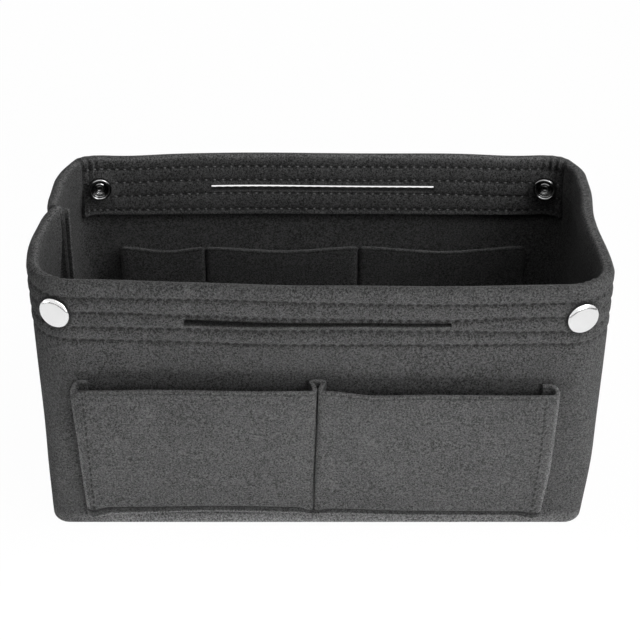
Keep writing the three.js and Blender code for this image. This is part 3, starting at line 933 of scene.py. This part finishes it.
def pocketLine(p, level):
    # points (x, distance from the wall, height) along one level of a strip
    lay = layOff(p)
    below, above = len(pleat["belowSewn"]), len(pleat["aboveSewn"])

    def height(x):
        low, sewn, top = (alongTable(p[edge], x) for edge in ("low", "sewn", "top"))
        if level < below:
            return low + (sewn - low) * pleat["belowSewn"][level]
        if level < below + above:
            return sewn + pleat["aboveSewn"][level - below]
        if level >= below + above + pleat["upperSteps"]:
            return top - pleat["belowTop"][level - below - above - pleat["upperSteps"]]
        start = sewn + pleat["aboveSewn"][-1]
        end = top - pleat["belowTop"][0]
        return start + (end - start) * (level - below - above + 1) / (pleat["upperSteps"] + 1)

    def upper(z):
        low, high = pleat["flareHeight"], pleat["mouthHeight"]
        return max(0.0, (z - low) / (high - low)) ** 2

    def panel(x):
        z = height(x)
        return x, panelOff(p, x, z), z

    seams = seamSpots(p, height(0.0))
    ends = []
    for k, inward in ((0, 1), (-1, -1)):
        edge = seams[k]
        z = height(edge)
        thick = max(standOff(p, edge + inward * p["reach"], z) - lay, p["felt"] + pleat["over"])
        lift, drop = p["ears"][k] * upper(z), p["dips"][k] * upper(z)
        fold = [(edge + inward * p["under"] * t, lay, z + lift) for t in pleat["tail"]]
        for i in range(pleat["turnPoints"]):
            angle = math.pi * i / (pleat["turnPoints"] - 1)
            out = (1 - math.cos(angle)) / 2
            x = edge + inward * p["reach"] * (1 - math.sin(angle))
            dip = drop * math.sin(angle) * step(0.0, 0.6, out)
            fold.append((x, lay + thick * out, z + lift * (1 - out) - dip))
        ends.append(fold[::inward])
    left, right = ends
    line = []
    stops = [left[-1][0] + pleat["endRoom"], *seams[1:-1], right[0][0] - pleat["endRoom"]]
    room = p["felt"] / 2 + pleat["gap"]
    for i, (a, b) in enumerate(zip(stops, stops[1:])):
        start = a if i == 0 else a + room + pleat["tuckRoom"]
        end = b if i == len(stops) - 2 else b - room - pleat["tuckRoom"]
        count = int((p["seams"][i + 1][0] - p["seams"][i][0]) / pleat["spacing"])
        for k in range(count + 1):
            line.append(panel(start + (end - start) * k / count))
        if i < len(stops) - 2:
            high, z = standOff(p, b, height(b)) - lay, height(b)
            lift, spread = p["ears"][i + 1] * upper(z), step(10.0, 60.0, z)
            tuck = []
            for more, out in tuckShape:
                more = more if out > 0.6 else more * spread
                tuck.append((room + more, lay + high * out, z + lift * (1 - out)))
            line += [(b - d, off, rise) for d, off, rise in tuck]
            line += [(b + d, off, rise) for d, off, rise in tuck[::-1]]
    return left + line + right


def makePocket(name, p):
    levels = len(pleat["belowSewn"]) + len(pleat["aboveSewn"]) + pleat["upperSteps"] + len(pleat["belowTop"])
    sewnLevel = len(pleat["belowSewn"]) - 1
    shades = {level: 0.4 for level in range(2, sewnLevel - 1)}  # painted shade on the strip under the row, in the puffed panel's shadow
    # painted shade in the sewn groove and in a thin line just under the mouth's edge
    shades |= {sewnLevel - 1: 0.75, sewnLevel: 1.0, sewnLevel + 1: 0.95, sewnLevel + 2: 0.5, levels - 3: 0.6}
    # paler raw edges at the foot and the mouth: fluffed felt, and at the foot also painted bounce highlight
    fluffAndHighlights = {0: 1.0, 1: 0.9, levels - 1: 0.25}
    turn = len(pleat["tail"]) + pleat["turnPoints"] // 2  # where the end is folded over
    verts, fluffAndHighlight, paintedShade = [], [], []
    for level in range(levels):
        line = pocketLine(p, level)
        half = p["felt"] / 2 * (0.7 if level in (0, levels - 1) else 1.0)
        sides = [[], []]
        for i, (x, off, z) in enumerate(line):
            before, after = line[max(i - 1, 0)], line[min(i + 1, len(line) - 1)]
            runX, runOff = after[0] - before[0], after[1] - before[1]
            length = math.hypot(runX, runOff) or 1.0
            normal = (-runOff / length, runX / length)
            for sign, row in zip((-1, 1), sides):
                y = p["wallY"] + p["out"] * (off + sign * half * normal[1])
                row.append(place(x + sign * half * normal[0], y, z))
        verts += sides[0] + sides[1][::-1]
        fromEdge = [min(abs(x - line[k][0]) for k in (turn, -turn - 1)) for x, off, z in line]
        edge = [0.55 * (1 - step(0.3, 1.6, gap)) for gap in fromEdge]
        fluffAndHighlight += [max(fluffAndHighlights.get(level, 0.0), e) for e in edge + edge[::-1]]
        paintedShade += [shades.get(level, 0.0)] * (2 * len(line))
    wide = len(verts) // levels
    faces = ringFaces(levels, wide)
    for base in (0, (levels - 1) * wide):
        faces += stripFaces(base, wide, wide // 2 - 1)
    felt = pocketFelt if "Outer" in name else insideFeltShaded
    piece = addObject(name + "Pocket", verts, faces, felt, 50.0, fluffAndHighlight, paintedShade)
    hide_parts(p["node"])
    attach(piece, p["body"])
    length = p["seams"][-1][0] - p["seams"][0][0] + 2 * p["under"] + pleat["endFelt"]
    length += pleat["tuckFelt"] * (len(p["seams"]) - 2)


for pocketName, settings in pockets.items():
    makePocket(pocketName, settings)
print("pockets sewn on")

# Stitches: short sunk lengths of thread
chance = random.Random(11)


def addStitch(verts, faces, centre, along, out, length, thick=1.0):
    across = along.cross(out).normalized()
    along = (along + across * chance.uniform(-stitch["stray"], stitch["stray"])).normalized()
    reach = length * mm / 2 * chance.uniform(0.8, 1.12)
    base, sides = len(verts), 6
    for s, wide, lift in stitch["shape"]:
        radius = stitch["radius"] * mm * wide * thick
        middle = centre + along * (reach * s) + out * ((lift - stitch["sink"]) * stitch["radius"] * mm)
        for k in range(sides):
            angle = 2 * math.pi * k / sides
            verts.append(middle + across * (radius * math.cos(angle)) + out * (radius * math.sin(angle)))
    faces += tubeFaces(len(stitch["shape"]), sides, base)


def hemRows(verts, faces, path, inside):
    runs = pathRuns(path)
    count = int(runs[-1] / stitch["pitch"])
    for row in range(len(box["frontRows"])):
        i = 0
        for n in range(count):
            run = (n + 0.5) * stitch["pitch"]
            while runs[i + 1] < run:
                i += 1
            if inside and not (hemmed(path[i]) and hemmed(path[i + 1])):
                continue
            ends = []
            for k in (i, i + 1):
                rows = rowHeights(*stationSpot(path[k], 0.0, snapHeight))
                depth = rowSink(rows, rows[row], run + (stitch["pitch"] / 2 if inside else 0.0))
                depth = hemThick - depth * wall["innerSink"] if inside else depth
                ends.append(place(*stationSpot(path[k], depth, rows[row]), rows[row]))
            nearX, nearY = stationSpot(path[i], 0.0, snapHeight)
            farX, farY = stationSpot(path[i], 10.0, snapHeight)
            out = Vector((nearX - farX, nearY - farY, 0.0)).normalized() * (-1 if inside else 1)
            centre = ends[0].lerp(ends[1], (run - runs[i]) / (runs[i + 1] - runs[i]))
            length = stitch["innerLength"] if inside else stitch["length"]
            addStitch(verts, faces, centre, (ends[1] - ends[0]).normalized(), out, length)


def pocketRows(verts, faces, p):
    out = Vector((0.0, p["out"], 0.0))

    def spot(x, z):
        return place(x, p["wallY"] + p["out"] * (panelOff(p, x, z) + p["felt"] / 2), z)

    def sew(points, length, thick=1.0):
        for a, b in zip(points, points[1:]):
            addStitch(verts, faces, a.lerp(b, 0.5), (b - a).normalized(), out, length, thick)

    first, last = p["stitched"]
    count = int((last - first) / stitch["pitch"])
    bottom = [first + (last - first) * i / count for i in range(count + 1)]
    sew([spot(x, alongTable(p["sewn"], x)) for x in bottom], stitch["length"])
    for x in p["stitched"]:
        low, high = alongTable(p["sewn"], x), alongTable(p["top"], x) - 1.5
        count = int((high - low) / stitch["sidePitch"])
        heights = [low + (high - low) * k / count for k in range(count + 1)]
        stray = stitch["sideStray"]
        points = [spot(x + chance.uniform(-stray, stray), z) for z in heights]
        sew(points, stitch["sideLength"], stitch["sideWide"])
        for shift in (0.2, 1.0):  # locking stitches at the foot
            sew([spot(x - 1.2, low + shift), spot(x + 1.2, low + shift + 0.4)], stitch["length"])


def addThread(name, material, build):
    verts, faces = [], []
    build(verts, faces)
    thread = addObject(name, verts, faces, material, 60.0)
    return thread


def makeStitches():
    for wallName, side in wallSides:
        def outerRows(verts, faces):
            hemRows(verts, faces, longPath(side), False)
            pocketRows(verts, faces, pockets[wallName + "Outer"])

        rows = (
            ("OuterStitches", outerThreadShaded, outerRows),
            ("InnerStitches", innerThread, lambda v, f: hemRows(v, f, longPath(side), True)),
            ("PocketStitches", outerThreadShaded, lambda v, f: pocketRows(v, f, pockets[wallName + "Inner"])),
        )
        for label, material, build in rows:
            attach(addThread(wallName + label, material, build), wallName + "_wall")
        for endName, signX in boxEnds:
            ends = addThread(f"{endName}{wallName.title()}GussetStitches", outerThreadShaded,
                             lambda v, f: hemRows(v, f, gussetPath(signX, side), False))
            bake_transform(ends)


makeStitches()
print("rows stitched")

# Press snaps, turned on a lathe about +Z with the felt at z = 0
snap = {
    "steps": 72,
    "gap": 0.3,
    "innerSeat": 7.71,  # from the outer face of the felt to the flange of the inner pieces
    "cap": [(0.0, 1.75), (1.6, 1.73), (3.2, 1.64), (4.6, 1.5), (5.8, 1.28), (6.6, 1.02), (7.1, 0.72),
            (7.4, 0.36), (7.45, 0.1), (7.2, -0.05), (2.2, -0.05), (2.2, -9.7), (1.95, -10.0), (1.6, -9.8),
            (1.4, -8.9), (0.5, -8.5), (0.0, -8.5)],
    "stud": [(2.5, 0.0), (5.7, 0.0), (6.0, 0.25), (6.0, 0.65), (5.6, 0.95), (4.2, 0.8), (3.3, 0.95),
             (3.05, 1.4), (3.2, 1.9), (3.5, 2.3), (3.4, 2.75), (3.0, 3.0), (2.6, 2.9), (2.5, 2.6)],
    "socket": [(2.5, 0.0), (5.6, 0.0), (6.0, 0.5), (6.0, 2.3), (5.92, 2.65), (5.7, 2.9), (5.4, 3.0),
               (5.05, 2.98), (4.75, 2.85), (4.6, 2.6), (4.5, 2.42), (4.1, 2.35), (4.1, 2.2), (4.9, 2.1),
               (4.9, 0.9), (4.2, 0.8), (3.3, 0.85), (3.1, 1.35), (2.75, 1.5), (2.5, 1.3)],
    "ring": {"radius": 4.4, "wire": 0.3, "height": 1.5, "split": 0.6},
}


def lathe(name, profile, material, closed):
    verts, faces, index, steps = [], [], {}, snap["steps"]
    for k, (r, z) in enumerate(profile):
        for n in range(steps if r > 0 else 1):
            angle = 2 * math.pi * n / steps
            index[k, n] = len(verts)
            verts.append(Vector((r * math.cos(angle), r * math.sin(angle), z)) * mm)

    def spot(k, n):
        return index[k, n % steps if profile[k][0] > 0 else 0]

    for k in range(len(profile) if closed else len(profile) - 1):
        after = (k + 1) % len(profile)
        for n in range(steps):
            corners = spot(k, n), spot(k, n + 1), spot(after, n + 1), spot(after, n)
            faces.append(tuple(dict.fromkeys(corners)))
    return addObject(name, verts, faces, material, 38.0)


def splitRing(name):
    # wire ring in the socket's groove, open at one place
    r, steps, sides = snap["ring"], snap["steps"] // 2, 8
    verts = []
    for i in range(steps + 1):
        turn = r["split"] / 2 + (2 * math.pi - r["split"]) * i / steps
        for k in range(sides):
            angle = 2 * math.pi * k / sides
            reach = r["radius"] + r["wire"] * math.cos(angle)
            height = r["height"] + r["wire"] * math.sin(angle)
            verts.append(Vector((reach * math.cos(turn), reach * math.sin(turn), height)) * mm)
    return addObject(name, verts, tubeFaces(steps + 1, sides), darkNickel, 60.0)


def layOnCorner(obj, signX, side, lift, facing):
    (midX, midY), (outX, outY), radius = snapSpot(signX, side)
    out = Vector((outX, outY, 0.0))
    middle = place(midX + out.x * radius, midY + out.y * radius, snapHeight)
    middle += out * (seat["dent"] * mm)  # back from the dented felt to its old level
    spin = (out * facing).to_track_quat("Z", "Y").to_matrix().to_4x4()
    obj.data.transform(Matrix.Translation(middle + out * (lift * mm)) @ spin)


def makeSnaps():
    for wallName, side in wallSides:
        for endName, signX in boxEnds:
            label, title = f"{wallName}_{endName}_snap_", wallName + endName.title()
            cap = lathe(title + "Cap", snap["cap"], capSilver, False)
            cap.data.materials.append(postNickelShaded)
            for face in cap.data.polygons:
                face.material_index = int(face.center.z < -0.1 * mm)  # the post, not the dome: a darker copy of the nickel, painted shade deep in the socket
            layOnCorner(cap, signX, side, snap["gap"], 1)
            inner = "stud" if side < 0 else "socket"
            back = lathe(title + inner.title(), snap[inner], darkNickel, True)
            layOnCorner(back, signX, side, -snap["innerSeat"], -1)
            pieces = [(cap, "cap", "snap_silver"), (back, inner, "snap_nickel")]
            if inner == "socket":
                ring = splitRing(title + "Spring")
                layOnCorner(ring, signX, side, -snap["innerSeat"], -1)
                pieces.append((ring, "spring", "snap_nickel"))
            for piece, node, finish in pieces:
                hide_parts(label + node)
                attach(piece, wallName + "_wall")


makeSnaps()
print("snaps set")

# Studio: pale floor, soft lamps, white background
studio = {
    "lamps": {
        "keyLamp": ((0.8, -1.1, 0.44), (0.6, 0.6), 5.4, 180.0),  # place, sides, watts, spread in degrees
        # lights the floor alone, close to the front
        "bounceLamp": ((0.02, -0.2, 0.22), (0.45, 0.15), 0.72, 50.0),
        "sideLamp": ((0.7, -0.2, 0.9), (0.6, 0.6), 6.4, 180.0),
        "topLamp": ((0.0, -0.5, 1.2), (0.8, 0.8), 2.6, 180.0),
        "backLamp": ((-0.15, 0.95, 0.14), (0.8, 0.24), 2.0, 180.0),
        "leftLamp": ((-0.95, -0.1, 0.14), (0.8, 0.24), 0.7, 180.0),
    },
    "aims": {"bounceLamp": (0.02, -0.2, 0.0)},
    "world": 0.05,
    "floorTone": 0.92,
    "floorHalf": 0.8,
    "floorGlow": 0.98,
    "darkBand": (-0.3, -0.02),  # heights of the dim room beyond the floor's edge, seen in the metal
    "bandTone": 0.05,
}


def seenRay(tree):
    ray = addNode(tree, "ShaderNodeLightPath")
    return ray, maths(tree, "MAXIMUM", ray.outputs["Is Camera Ray"], ray.outputs["Is Glossy Ray"])


def makeFloor():
    half = studio["floorHalf"]
    corners = [(-half, -half, 0), (half, -half, 0), (half, half, 0), (-half, half, 0)]
    mesh = bpy.data.meshes.new("paleFloor")
    mesh.from_pydata(corners, [], [(0, 1, 2, 3)])
    floor = bpy.data.objects.new("paleFloor", mesh)
    bpy.context.scene.collection.objects.link(floor)
    plain = {"Base Color": grey(studio["floorTone"]), "Roughness": 0.9}
    material, tree, shader = newMaterial("palePaper", plain)
    glow = addNode(tree, "ShaderNodeEmission", {"Strength": 1.0})
    ray, seen = seenRay(tree)
    fade = maths(tree, "MULTIPLY", seen, studio["floorGlow"])
    sides = {"Fac": fade, 1: shader.outputs["BSDF"], 2: glow.outputs["Emission"]}
    mix = addNode(tree, "ShaderNodeMixShader", sides)
    tree.links.new(mix.outputs["Shader"], tree.nodes["Material Output"].inputs["Surface"])
    mesh.materials.append(material)


def addLamp(name, spot, sides, power, spread):
    data = bpy.data.lights.new(name, "AREA")
    data.shape = "RECTANGLE"
    data.energy = power
    data.size, data.size_y = sides
    data.spread = math.radians(spread)
    lamp = bpy.data.objects.new(name, data)
    lamp.location = spot
    aim = Vector(studio["aims"].get(name, (0, 0, 0.06)))
    lamp.rotation_euler = (aim - Vector(spot)).to_track_quat("-Z", "Y").to_euler()
    bpy.context.scene.collection.objects.link(lamp)


def makeStudio():
    makeFloor()
    for name, settings in studio["lamps"].items():
        addLamp(name, *settings)
    world = bpy.data.worlds.new("studioWorld")
    bpy.context.scene.world = world
    world.use_nodes = True
    tree = world.node_tree
    back = tree.nodes["Background"]
    ray, seen = seenRay(tree)
    level = addNode(tree, "ShaderNodeMapRange", {"Value": seen, "To Min": studio["world"], "To Max": 1.0})
    tree.links.new(level.outputs["Result"], back.inputs["Strength"])
    # a dim strip beyond the floor's edge, for glossy rays only
    coord = addNode(tree, "ShaderNodeTexCoord")
    split = addNode(tree, "ShaderNodeSeparateXYZ", {"Vector": coord.outputs["Generated"]})
    low, high = studio["darkBand"]
    band = maths(tree, "COMPARE", split.outputs["Z"], (low + high) / 2, (high - low) / 2)
    dim = maths(tree, "MULTIPLY", band, ray.outputs["Is Glossy Ray"])
    tree.links.new(mixTones(tree, dim, grey(1), grey(studio["bandTone"])), back.inputs["Color"])
    bpy.context.scene.view_settings.view_transform = "Standard"


# Camera fitted to the photograph's edges
view = {"distance": 0.7423, "elevation": 33.95, "middle": 0.0675, "aim": 0.0758, "lens": 84.1}


def makeCamera():
    data = bpy.data.cameras.new("photoCamera")
    data.lens = view["lens"]
    data.sensor_width = 36.0
    camera = bpy.data.objects.new("photoCamera", data)
    up = math.radians(view["elevation"])
    away, rise = view["distance"] * math.cos(up), view["distance"] * math.sin(up)
    camera.location = (0.0, -away, view["middle"] + rise)
    look = Vector((0.0, 0.0, view["aim"])) - camera.location
    camera.rotation_euler = look.to_track_quat("-Z", "Y").to_euler()
    bpy.context.scene.collection.objects.link(camera)
    bpy.context.scene.camera = camera


makeStudio()
makeCamera()
print("studio and camera set")
